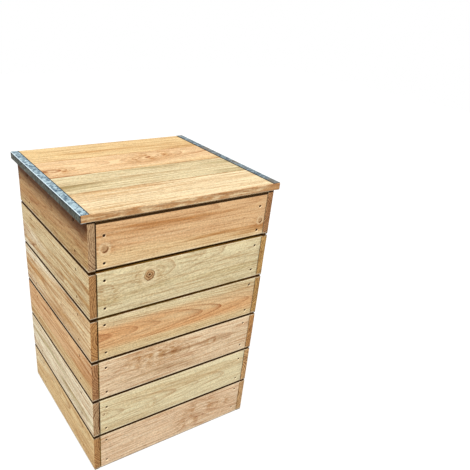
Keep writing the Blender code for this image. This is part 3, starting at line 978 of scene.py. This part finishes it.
def nailed_board(lie, course, grain, knots=(), rises=NAIL_RISE):
    """Replace a CAD board of a wall by one with punched nails, and add its nail heads."""
    node = f"{lie}_board_{course}"
    size = size_along_grain(node, lie)
    middle = node_middle(node)
    place = lay(lie, middle)
    dice = random.Random(node)
    if lie in ("front", "back"):
        grain = {**BLACK_END, **grain}
    grain = {**grain, "Punched": 1.0, "Top_Edge_Dark": float(course < 6)}
    face = size[2] / 2
    spots = nail_spots(size[0], NAIL_INSETS[lie], rises, dice)
    seed = dice.uniform(0, 40)
    blank = mesh_object(f"{node}_blank", saw_board(size, seed))
    cutter = mesh_object(f"{node}_dimples", dimples(spots, face))
    mesh = carved(blank, cutter, f"nailed_{node}")
    mesh.transform(place)
    board = bpy.data.objects.new(f"nailed_{node}", mesh)
    bpy.context.scene.collection.objects.link(board)
    mesh.materials.clear()
    mesh.materials.append(pine_material(f"pine of {node}", lie, middle, size, grain, knots))
    smooth_faces(board)
    nail_heads(nails_of[lie], spots, face, place)
    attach(board, "bin")
    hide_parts(node)


nails_of = {wall: bmesh.new() for wall in NAIL_INSETS}
print("boards can be sawn")

# %% [markdown]
# The colours of the stack
#
# Each board was cut from another part of a log, and the photograph shows which: two are
# greenish sapwood, one has an orange tongue of heartwood that tapers to the right, others
# are tan or pinkish. The colours are named once, and every wall picks from them.

# %% The colours of the stack
GREEN_SAP = paint("dccda3")
PALE_GREEN = paint("dfd2aa")
DEEP_GREEN = paint("dfd0a6")
YELLOW_SAP = paint("e6c994")
BUTTER_SAP = paint("e2cb9b")
CREAM_SAP = paint("ecd8ae")
WARM_SAP = paint("e9ca98")
# SHADY_SAP and SHADY_HEART are darker woods for the top left board: painted shade under the lid.
SHADY_SAP = paint("d2b47f")
TAN_HEART = paint("e2b988")
ORANGE_HEART = paint("dca974")
AMBER_HEART = paint("eccd9f")
PINK_HEART = paint("e6cda9")
ROSE_HEART = paint("e2c8a6")
SHADY_HEART = paint("cea674")
LEFT_CREAM = paint("f7ebcb")
LEFT_TAN = paint("f2d9ab")
LEFT_HONEY = paint("e9c08e")
LEFT_GREEN = paint("e7d3a5")
GREY_STREAK = paint("c4bf9e")
GREEN_STREAK = paint("d6ccae")
ROSY_STREAK = paint("c9b79f")
OLIVE_STREAK = paint("beb193")
# Tones of the dark joints, dirt and painted shade; front boards also use them on their ends.
LIGHT_JOINT = paint("8c7238")
DEEP_JOINT = paint("4d3810")
LID_EDGE = paint("f6ebe2")
HONEY_END = paint("b98c5a")
GREY_END = paint("be9d76")
BROWN_END = paint("b3855a")
PALE_END = paint("c8a273")
GOLDEN_END = paint("c5945d")
STRAW_END = paint("c79f62")
WHEAT_END = paint("d1a975")
# The front boards' dark end tones are painted shadow in the gaps at the corners.
FRONT_ENDS = (LIGHT_JOINT, DARK_EDGE, LIGHT_JOINT, DEEP_JOINT, DEEP_JOINT, DARK_EDGE)
LEFT_ENDS = (HONEY_END, GREY_END, BROWN_END, GOLDEN_END, HONEY_END, GREY_END)
RIGHT_ENDS = (PALE_END, WHEAT_END, GOLDEN_END, STRAW_END, STRAW_END, BROWN_END)
# How wide the painted shadow under the lid is, on the top board of each wall.
LID_SHADOW_BAND = 0.0036


def grain_of(sapwood, heartwood, heart_radius, across, depth, slopes, seed, **more):
    """The numbers of one board's pine, by the names that the group has."""
    return {
        "Sapwood": sapwood,
        "Lower_Sapwood": sapwood,
        "Heartwood": heartwood,
        "Heart_Radius": heart_radius,
        "Pith_Across": across,
        "Pith_Depth": depth,
        "Slope_Across": slopes[0],
        "Slope_Depth": slopes[1],
        "Seed": seed,
        **more,
    }


print("ends of the side walls:", len(LEFT_ENDS) + len(RIGHT_ENDS))

# %% [markdown]
# The front wall
#
# The boards are numbered from the ground up. For each one the table gives the two woods, the
# heartwood's radius, where the pith runs, how it slopes, and a seed for the noise. The knots
# are given by their place from the board's middle, their radius and how much of the knot
# itself shows: 0 leaves only the swirl of rings, as where a saw just missed the branch. No
# two nails were driven at quite the same height, so these are noted too.

# %% The boards of the front wall
FRONT_BOARDS = {
    6: grain_of(
        WARM_SAP, TAN_HEART, 0.13, 0.07, 0.075, (-0.06, 0.02), 1.3,
        Ring_Contrast=0.55, Line_Contrast=0.5, Streaks=0.9, Top_Grime=LID_SHADOW_BAND,
    ),
    5: grain_of(
        DEEP_GREEN, PALE_GREEN, 0.04, 0.06, 0.07, (0.05, 0.06), 2.1,
        Edge_Tone=LIGHT_JOINT, Ring_Contrast=0.6, Line_Contrast=0.6,
        Streaks=0.7, Streak_Tone=GREEN_STREAK,
    ),
    4: grain_of(
        GREEN_SAP, ORANGE_HEART, 0.0845, 0.002, 0.064, (-0.028, 0.040), 3.7,
        Lower_Sapwood=BUTTER_SAP, Wander=0.3, Heart_Fade=0.012, Heart_Taper=0.028,
        Ring_Width=0.0038, Ring_Sharpness=4.0, Ring_Contrast=1.3, Line_Contrast=0.5,
    ),
    3: grain_of(
        YELLOW_SAP, PINK_HEART, 0.12, 0.01, 0.055, (0.03, 0.05), 4.4,
        Ring_Contrast=0.5, Stain_Depth=1.0, Patches=0.3,
        Streaks=0.8, Streak_Tone=ROSY_STREAK,
    ),
    2: grain_of(
        PALE_GREEN, YELLOW_SAP, 0.03, 0.0, 0.05, (0.0, 0.06), 5.2,
        Wander=0.4, Ring_Sharpness=5.0, Ring_Contrast=0.7, Line_Contrast=0.5, Streaks=0.4,
    ),
    1: grain_of(
        ROSE_HEART, ROSE_HEART, 0.1, -0.09, 0.08, (0.02, 0.02), 6.6,
        Stain_Depth=0.9, Streaks=0.7,
    ),
}
FRONT_KNOTS = {
    6: ((-0.258, -0.009, 0.0115, 1), (0.26, -0.018, 0.009, 1)),
    5: ((-0.123, 0.029, 0.018, 1), (-0.250, 0.008, 0.012, 0), (-0.246, -0.02, 0.009, 0)),
    4: ((-0.124, -0.047, 0.003, 1),),
    3: ((-0.112, 0.034, 0.024, 0), (-0.070, 0.030, 0.025, 0), (0.120, 0.015, 0.008, 0)),
    2: ((-0.270, 0.012, 0.006, 0.9), (-0.101, -0.018, 0.006, 0)),
    1: ((0.107, 0.018, 0.022, 0), (0.06, -0.02, 0.014, 0), (0.2, 0.01, 0.012, 0)),
}
FRONT_NAILS = {
    6: (0.027, -0.050),
    5: (0.042, -0.045),
    4: (0.047, -0.050),
    3: (0.044, -0.050),
    2: (0.037, -0.050),
    1: (0.043, -0.045),
}

for number, grain in FRONT_BOARDS.items():
    if number < 4:
        grain = {"Edge_Tone": DEEP_JOINT, **grain}
    grain = {**grain, "End_Tone": FRONT_ENDS[number - 1]}
    nailed_board("front", number, grain, FRONT_KNOTS[number], FRONT_NAILS[number])
print("front boards:", len(FRONT_BOARDS))

# %% [markdown]
# The left wall
#
# The left wall turns away from the light, and its boards are streaked along the grain. The
# top one is shaded by the lid, and its darker woods and the brown over its upper part are
# painted shade. Their sawn ends show at the front corner, so each end has a tone of its own.
# The marks of the hammer are hardly paler than the wood here.

# %% The boards of the left wall
STREAKY = {
    "Streaks": 0.85,
    "Line_Contrast": 0.95,
    # A narrow band of the same painted shade along each upper joint.
    "Top_Grime": 0.001,
    "Edge_Tone": DEEP_JOINT,
}
LEFT_BOARDS = {
    # The top board: darker woods and a brown upper part, painted shade under the lid.
    6: grain_of(
        SHADY_SAP, SHADY_HEART, 0.1, 0.02, 0.07, (0.0, 0.04), 7.1,
        Top_Grime=LID_SHADOW_BAND, Top_Stain=1.0, Patches=0.5,
    ),
    5: grain_of(LEFT_GREEN, LEFT_CREAM, 0.07, -0.03, 0.06, (0.02, 0.05), 8.2, **STREAKY),
    4: grain_of(LEFT_CREAM, LEFT_TAN, 0.09, 0.0, 0.06, (0.02, -0.04), 9.4, **STREAKY),
    3: grain_of(YELLOW_SAP, LEFT_HONEY, 0.1, 0.05, 0.06, (0.0, 0.03), 10.8, **STREAKY),
    2: grain_of(
        LEFT_CREAM, LEFT_CREAM, 0.06, -0.02, 0.08, (0.0, 0.03), 11.5,
        Streak_Tone=GREY_STREAK, **STREAKY,
    ),
    1: grain_of(YELLOW_SAP, CREAM_SAP, 0.06, 0.04, 0.06, (0.0, 0.05), 12.9, **STREAKY),
}
# The pale rims, partly a painted highlight, are faint on this wall, which faces away from the sun.
SOFT_NAIL_MARKS = {"Pale Rim": 0.1, "Pit_Reach": 0.0016}

for number, grain in LEFT_BOARDS.items():
    grain = {**grain, "End_Tone": LEFT_ENDS[number - 1], **SOFT_NAIL_MARKS}
    nailed_board("left", number, grain)
print("left boards:", len(LEFT_BOARDS))

# %% [markdown]
# The lid
#
# The four boards of the lid lie tight together, so their joints are fine lines and their
# edges get little of the pale wear and painted highlight. They have no nails: the cleats
# hold them from below, and the CAD boards stay as they are. The third board has the swirls
# of two big knots that the saw missed. The first, at the front, has a pale rubbed arris at
# the bottom.

# %% The boards of the lid
LID_BOARDS = {
    1: grain_of(CREAM_SAP, YELLOW_SAP, 0.05, 0.09, 0.06, (0.0, 0.02), 13.6, Streaks=0.7),
    2: grain_of(
        GREEN_SAP, PALE_GREEN, 0.05, 0.08, 0.05, (0.02, 0.03), 41.6,
        Streaks=1.0, Streak_Tone=OLIVE_STREAK,
    ),
    3: grain_of(
        YELLOW_SAP, AMBER_HEART, 0.11, 0.01, 0.07, (0.04, 0.03), 15.1,
        Wander=0.6, Ring_Contrast=1.1, Ring_Sharpness=2.4, Line_Contrast=0.4,
        Streaks=0.4, Stain_Depth=1.1, Knot_Rings=22.0,
    ),
    4: grain_of(YELLOW_SAP, YELLOW_SAP, 0.05, -0.07, 0.06, (0.0, 0.02), 16.9, Streaks=0.8),
}
LID_KNOTS = {3: ((0.095, 0.029, 0.020, 0), (0.04, 0.0, 0.016, 0), (-0.266, -0.024, 0.016, 0))}

for number, grain in LID_BOARDS.items():
    grain = {**grain, "Edge_Tone": LID_EDGE, "Wear And Highlight": 0.15, "Pale_Arris": float(number == 1)}
    dress_board(f"lid_board_{number}", "lid", grain, LID_KNOTS.get(number, ()))
print("lid boards:", len(LID_BOARDS))

# %% [markdown]
# The other timber
#
# The right and back walls, the battens in the corners and the cleats under the lid are out
# of sight in the photograph. They come from the same stack of boards, so their grain is
# drawn at random, with a fixed seed that gives the same boards each time.

# %% The other timber
shelf = random.Random(11)
SAPS = (GREEN_SAP, YELLOW_SAP, CREAM_SAP)
HEARTS = (TAN_HEART, PINK_HEART, YELLOW_SAP, ORANGE_HEART)


def any_grain():
    """A board from the same stack, chosen by the shelf's own dice."""
    slopes = (shelf.uniform(-0.03, 0.03), shelf.uniform(-0.06, 0.06))
    return grain_of(
        shelf.choice(SAPS),
        shelf.choice(HEARTS),
        shelf.uniform(0.05, 0.11),
        shelf.uniform(-0.06, 0.06),
        shelf.uniform(0.04, 0.08),
        slopes,
        shelf.uniform(20, 90),
    )


for wall in ("right", "back"):
    for course in range(1, 7):
        grain = any_grain()
        if wall == "right":
            grain["End_Tone"] = RIGHT_ENDS[course - 1]
        # The top board of each wall gets the painted shadow under the lid.
        if course == 6:
            grain["Top_Grime"] = LID_SHADOW_BAND
        nailed_board(wall, course, grain)
for one in ("front", "back"):
    for two in ("left", "right"):
        dress_board(f"{one}_batten_{two}", "batten", {**any_grain(), "Edge_Dark": 0.0})
        dress_board(f"{two}_batten_{one}", "batten", {**any_grain(), "Edge_Dark": 0.0})
for hand in ("left", "right"):
    dress_board(f"lid_cleat_{hand}", "cleat", {**any_grain(), "Edge_Dark": 0.0})
print("hidden timber dressed")

# %% [markdown]
# Galvanised sheet
#
# Steel dipped in zinc dries in flat crystals, the spangle. Each crystal mirrors the sky in
# its own shade of blue grey. Voronoi cells give the crystals, noise bends their borders, and
# each cell has its own brightness and polish. The outer web of a lid channel gets painted
# shade, with painted glints on some crystals, its upper bend a painted highlight, and its
# inner lip a dark band of dirt and painted shade. The right channel is a darker, browner
# copy of the zinc, as painted shade.

# %% Galvanised sheet
ZINC_DULL = paint("446074")
ZINC_BRIGHT = paint("bed6de")
ZINC_RIGHT_SHADE = paint("756c5c")
# ZINC_SIDE and ZINC_FOOT paint shade on a channel's web; ZINC_SIDE also darkens the inner lip.
ZINC_SIDE = paint("14262c")
ZINC_FOOT = paint("47473d")
ZINC_BEND_HIGHLIGHT = paint("e2f2f8")
WEB_CLOUD = paint("8a8f80")
WEB_GLINT = paint("8f9a8c")
WEB_RIGHT_SHADE = paint("66706f")
SPANGLES = 150
SPANGLE_BENDS = 120
SPANGLE_PUSH = 0.008
SHEET_METAL = 0.6
# How much darker the right channel's copy of the zinc is, as painted shade.
RIGHT_CHANNEL_SHADE = 0.35


def spangle(tree, spot):
    """Crystals of zinc with bent borders, each with three random numbers of its own."""
    cells = tree.nodes.new("ShaderNodeTexVoronoi")
    cells.inputs["Scale"].default_value = SPANGLES
    cells.inputs["Randomness"].default_value = 1
    bend = tree.nodes.new("ShaderNodeTexNoise")
    bend.inputs["Scale"].default_value = SPANGLE_BENDS
    plug(tree, spot, bend.inputs["Vector"])
    push = vector_of(tree, "SCALE", bend.outputs["Color"])
    push.node.inputs["Scale"].default_value = SPANGLE_PUSH
    plug(tree, vector_of(tree, "ADD", spot, push), cells.inputs["Vector"])
    split = tree.nodes.new("ShaderNodeSeparateColor")
    plug(tree, cells.outputs["Color"], split.inputs[0])
    return split.outputs


def channel_sides(tree, spot, outer, top, level, cloud, right_shade, colour):
    """Painted shade on the web of a lid channel, a painted highlight on its bend, and its dark
    lip.
    """
    x, _, z = parts_of(tree, spot)
    side = math_of(tree, "ABSOLUTE", x)
    # Painted shade: the outer web gets a dark tone of its own, with painted glints on some
    # crystals.
    web = step_of(tree, side, outer - 0.0012, outer - 0.0004)
    web = times(tree, web, step_of(tree, z, top - 0.0004, top - 0.0016))
    foot = step_of(tree, z, top - 0.004, top - 0.009)
    tone = blend_of(tree, foot, ZINC_SIDE, ZINC_FOOT)
    tone = blend_of(tree, cloud, tone, WEB_CLOUD, "OVERLAY")
    tone = blend_of(tree, step_of(tree, level, 0.5, 1.0, 0, 0.24), tone, WEB_GLINT)
    tone = blend_of(tree, 2 * right_shade, tone, WEB_RIGHT_SHADE)
    colour = blend_of(tree, web, colour, tone)
    # Painted highlight: a pale line along the upper bend, weaker on the right channel.
    bend = step_of(tree, side, outer - 0.0026, outer - 0.0012)
    bend = times(tree, bend, step_of(tree, z, top - 0.0016, top - 0.0006), 1 - 2 * right_shade)
    colour = blend_of(tree, bend, colour, ZINC_BEND_HIGHLIGHT)
    # The inner lip: a dark band against the wood, dirt and painted shade.
    lip = step_of(tree, side, outer - 0.0205, outer - 0.0235)
    return blend_of(tree, lip, colour, ZINC_SIDE), scaled(tree, web, -0.5, SHEET_METAL)


def zinc_material(name, outer=None, top=None, right_shade=0.0):
    """Blue-grey zinc with its spangle; outer and top place the bend of a lid channel."""
    material, tree, shader = new_material(name)
    spot = object_place(tree)
    tone = spangle(tree, spot)
    cloud = noise_of(tree, spot, (14, 14, 14), detail=3)
    level = scaled(tree, tone[0], 1.1, -0.3 - right_shade)
    level = plus(tree, level, times(tree, cloud, 0.45))
    colour = blend_of(tree, level, ZINC_DULL, ZINC_BRIGHT)
    # Painted shade on the right channel: brown patches, a lower level and a weaker bend highlight.
    right_shade_patches = step_of(tree, cloud, 0.36, 0.58, 2.4 * right_shade, 0.7 * right_shade)
    colour = blend_of(tree, right_shade_patches, colour, ZINC_RIGHT_SHADE)
    metal = SHEET_METAL
    if outer is not None:
        colour, metal = channel_sides(tree, spot, outer, top, level, cloud, right_shade, colour)
    plug(tree, colour, shader.inputs["Base Color"])
    plug(tree, metal, shader.inputs["Metallic"])
    plug(tree, scaled(tree, tone[1], 0.2, 0.4), shader.inputs["Roughness"])
    shader.inputs["Specular IOR Level"].default_value = 0.1
    return material


def steel_material():
    """Bright zinc plating on hinges and screws."""
    material, tree, shader = new_material("plated steel")
    cloud = noise_of(tree, object_place(tree), (160, 160, 160), detail=3)
    colour = blend_of(tree, cloud, paint("6c6f69"), paint("a9a89c"))
    plug(tree, colour, shader.inputs["Base Color"])
    shader.inputs["Metallic"].default_value = 0.9
    plug(tree, scaled(tree, cloud, 0.3, 0.22), shader.inputs["Roughness"])
    return material


channel_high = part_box("lid_channel_right")[1]
bend_place = (channel_high.x, channel_high.z)
ZINC = zinc_material("galvanised tray")
BRIGHT_CHANNEL = zinc_material("galvanised channel", *bend_place)
# The right channel's copy of the zinc is darker, as painted shade.
SHADED_CHANNEL = zinc_material("shaded galvanised channel", *bend_place, RIGHT_CHANNEL_SHADE)
STEEL = steel_material()
for node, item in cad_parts.items():
    if node == "tray":
        coat(item, ZINC)
    elif node.startswith("lid_channel"):
        coat(item, BRIGHT_CHANNEL if node.endswith("left") else SHADED_CHANNEL)
    elif "hinge" in node:
        coat(item, STEEL)
print("steel dressed")

# %% [markdown]
# The nail heads
#
# Bright nails go dull in the rain, and the wood round them is darker deep in their dimples.
# They are dark brown with a little metal left in them.

# %% The nail heads


def nail_material():
    """Dull nail heads at the bottom of their dimples."""
    material, tree, shader = new_material("nail head")
    rust = noise_of(tree, object_place(tree), (700, 700, 700), detail=2)
    plug(tree, blend_of(tree, rust, paint("1c130c"), paint("3d2b1d")), shader.inputs["Base Color"])
    shader.inputs["Roughness"].default_value = 0.7
    shader.inputs["Specular IOR Level"].default_value = 0.1
    return material


NAIL = nail_material()
for wall, bm in nails_of.items():
    heads = mesh_object(f"{wall}_nails", bm)
    heads.data.materials.append(NAIL)
    smooth_faces(heads)
    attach(heads, "bin")
print("nails placed")

# %% [markdown]
# Screws with a cross recess
#
# A screw is a shape for a lathe: half of its outline is drawn from the middle of the head to
# the point and spun once round. A Boolean cuts the cross into the head. Its plug is a square
# post whose four sides are drawn out into arms, and that narrows downwards as the real
# recess does. One countersunk screw and one with a domed head are made, and copies of them
# are turned to face the way each screw faces.

# %% Screws with a cross recess
SCREW_TURNS = 24
SCREW_HEAD = 0.0033
SCREW_SHANK = 0.0016
SCREW_LENGTH = 0.016
SCREW_POINT = 0.003
DOME_RISE = 0.002
CROSS_ARM = 0.0019
CROSS_WIDTH = 0.00042
CROSS_DEPTH = 0.0012
CROSS_TAPER = (1.3, 0.7)
ABOVE_HEAD = 0.001
COUNTERSUNK = (
    (0, 0),
    (SCREW_HEAD - 0.0002, 0),
    (SCREW_HEAD, -0.0002),
    (SCREW_SHANK, -0.0018),
    (SCREW_SHANK, SCREW_POINT - SCREW_LENGTH),
    (0, -SCREW_LENGTH),
)
DOMED = (
    (0, DOME_RISE),
    (SCREW_HEAD * 0.38, DOME_RISE * 0.94),
    (SCREW_HEAD * 0.7, DOME_RISE * 0.72),
    (SCREW_HEAD * 0.92, DOME_RISE * 0.38),
    (SCREW_HEAD, 0),
    (SCREW_SHANK, 0),
    (SCREW_SHANK, SCREW_POINT - SCREW_LENGTH),
    (0, -SCREW_LENGTH),
)


def cross_plug(top):
    """A plus-shaped plug that narrows downwards from just above the head."""
    high = top + ABOVE_HEAD
    low = top - CROSS_DEPTH
    bm = bmesh.new()
    bmesh.ops.create_cube(bm, size=1)
    bmesh.ops.scale(bm, vec=(2 * CROSS_WIDTH, 2 * CROSS_WIDTH, high - low), verts=bm.verts)
    bmesh.ops.translate(bm, vec=(0, 0, (high + low) / 2), verts=bm.verts)
    bm.normal_update()
    sides = [face for face in bm.faces if abs(face.normal.z) < 0.5]
    arms = bmesh.ops.extrude_discrete_faces(bm, faces=sides)["faces"]
    bm.normal_update()
    for face in arms:
        out = face.normal * (CROSS_ARM - CROSS_WIDTH)
        bmesh.ops.translate(bm, vec=out, verts=face.verts)
    for height, share in zip((high, low), CROSS_TAPER):
        level = [vert for vert in bm.verts if abs(vert.co.z - height) < 1e-5]
        bmesh.ops.scale(bm, vec=(share, share, 1), verts=level)
    bmesh.ops.recalc_face_normals(bm, faces=bm.faces)
    return bm


def turned_screw(name, outline):
    """Spin an outline into a screw and cut the cross into its head."""
    bm = bmesh.new()
    verts = [bm.verts.new((across, 0, up)) for across, up in outline]
    edges = [bm.edges.new(pair) for pair in zip(verts, verts[1:])]
    bmesh.ops.spin(
        bm,
        geom=[*verts, *edges],
        cent=(0, 0, 0),
        axis=(0, 0, 1),
        angle=2 * math.pi,
        steps=SCREW_TURNS,
        use_merge=True,
    )
    bmesh.ops.remove_doubles(bm, verts=bm.verts, dist=1e-6)
    bmesh.ops.recalc_face_normals(bm, faces=bm.faces)
    plug_bm = cross_plug(outline[0][1])
    return carved(mesh_object(name, bm), mesh_object(f"{name}_cross", plug_bm), name)


def drive_screws(name, screw, spots, body, nodes=()):
    """Copies of a screw at (place, facing) pairs, as one piece that rides on a body."""
    bm = bmesh.new()
    dice = random.Random(name)
    for place, facing in spots:
        turn = Vector(facing).to_track_quat("Z", "X").to_matrix().to_4x4()
        twist = Matrix.Rotation(dice.uniform(0, QUARTER), 4, "Z")
        one = screw.copy()
        one.transform(Matrix.Translation(place) @ turn @ twist)
        bm.from_mesh(one)
        bpy.data.meshes.remove(one)
    piece = mesh_object(name, bm)
    piece.data.materials.append(STEEL)
    smooth_faces(piece)
    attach(piece, body)
    if nodes:
        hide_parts(*nodes)


FLUSH_SCREW = turned_screw("countersunk_screw", COUNTERSUNK)
DOMED_SCREW = turned_screw("domed_screw", DOMED)
print("faces of a domed screw:", len(DOMED_SCREW.polygons))

# %% [markdown]
# Where the screws go
#
# Two screws hold each hinge leaf, and one in the middle of each rim holds the tray. They
# take the place of the plain ones in the model. The rest is what such a bin needs out of
# sight: screws that pull the two battens of a corner together, screws up through the cleats
# into every board of the lid, and small ones through the lower lips of the channels.

# %% Where the screws go
BATTEN_HEIGHTS = (0.12, 0.45, 0.78)
LID_ROWS = (-0.213, -0.072, 0.068, 0.206)
LIP_MIDDLE = 0.311
TRAY_FACING = {
    "front": (0, 1, 0),
    "back": (0, -1, 0),
    "left": (1, 0, 0),
    "right": (-1, 0, 0),
}

for leaf, body in (("wall", "bin"), ("lid", "lid")):
    nodes = [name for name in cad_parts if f"_{leaf}_screw_" in name]
    spots = []
    for node in nodes:
        middle = node_middle(node)
        spots.append(((middle.x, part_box(node)[1].y, middle.z), (0, 1, 0)))
    drive_screws(f"{leaf}_hinge_screws", FLUSH_SCREW, spots, body, nodes)

spots = []
for side, facing in TRAY_FACING.items():
    low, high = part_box(f"tray_screw_{side}")
    half = (high - low).dot(Vector([abs(part) for part in facing])) / 2
    seat = (low + high) / 2 + (half - DOME_RISE) * Vector(facing)
    spots.append((seat, facing))
nodes = [f"tray_screw_{side}" for side in TRAY_FACING]
drive_screws("tray_screws", DOMED_SCREW, spots, "bin", nodes)

spots = []
for hand in ("left", "right"):
    for end, way in (("front", 1), ("back", -1)):
        low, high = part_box(f"{hand}_batten_{end}")
        face = high.y if way > 0 else low.y
        for height in BATTEN_HEIGHTS:
            spots.append((((low.x + high.x) / 2, face, height), (0, way, 0)))
drive_screws("batten_screws", DOMED_SCREW, spots, "bin")

spots = []
for hand in ("left", "right"):
    middle = node_middle(f"lid_cleat_{hand}")
    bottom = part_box(f"lid_cleat_{hand}")[0].z
    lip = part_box(f"lid_channel_{hand}")[0].z
    for row in LID_ROWS:
        spots.append(((middle.x, row, bottom), (0, 0, -1)))
        spots.append(((math.copysign(LIP_MIDDLE, middle.x), row, lip), (0, 0, -1)))
drive_screws("lid_screws", DOMED_SCREW, spots, "lid")
for spare in (FLUSH_SCREW, DOMED_SCREW):
    bpy.data.meshes.remove(spare)
print("screws driven")
